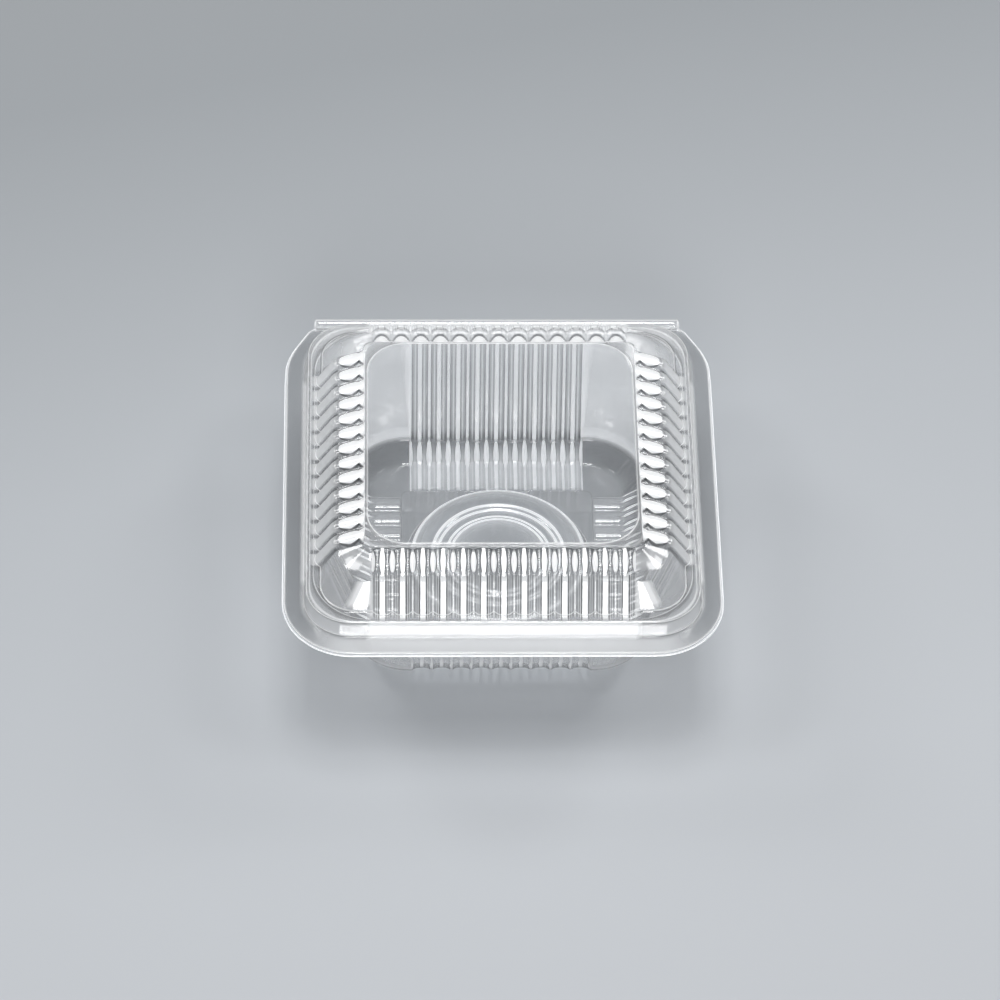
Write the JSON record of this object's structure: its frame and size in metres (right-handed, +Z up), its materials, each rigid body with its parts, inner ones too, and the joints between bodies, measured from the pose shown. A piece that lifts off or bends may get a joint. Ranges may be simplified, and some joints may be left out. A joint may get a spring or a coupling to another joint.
{
  "type": "hinged clear food container",
  "caption": "Square clear plastic clamshell pack with fluted walls, a shallow domed lid, flat flanges and a rolled hinge along the back.",
  "frame": {"origin": "under the middle of the closed pack, on the surface it stands on", "axes": "+X to the right, +Y to the back where the hinge is, +Z up"},
  "size_m": [0.1318, 0.1354, 0.0569],
  "materials": {
    "clear_sheet": "clear, polished"
  },
  "bodies": {
    "tray": {"base_tray": "clear_sheet"},
    "lid": {"lid": "clear_sheet"}
  },
  "joints": [
    {"name": "lid_hinge", "type": "hinge", "parent": "tray", "child": "lid", "pos_m": [0, 0.06785, 0.038], "axis": [-1, 0, 0], "range_deg": [0, 180]}
  ]
}
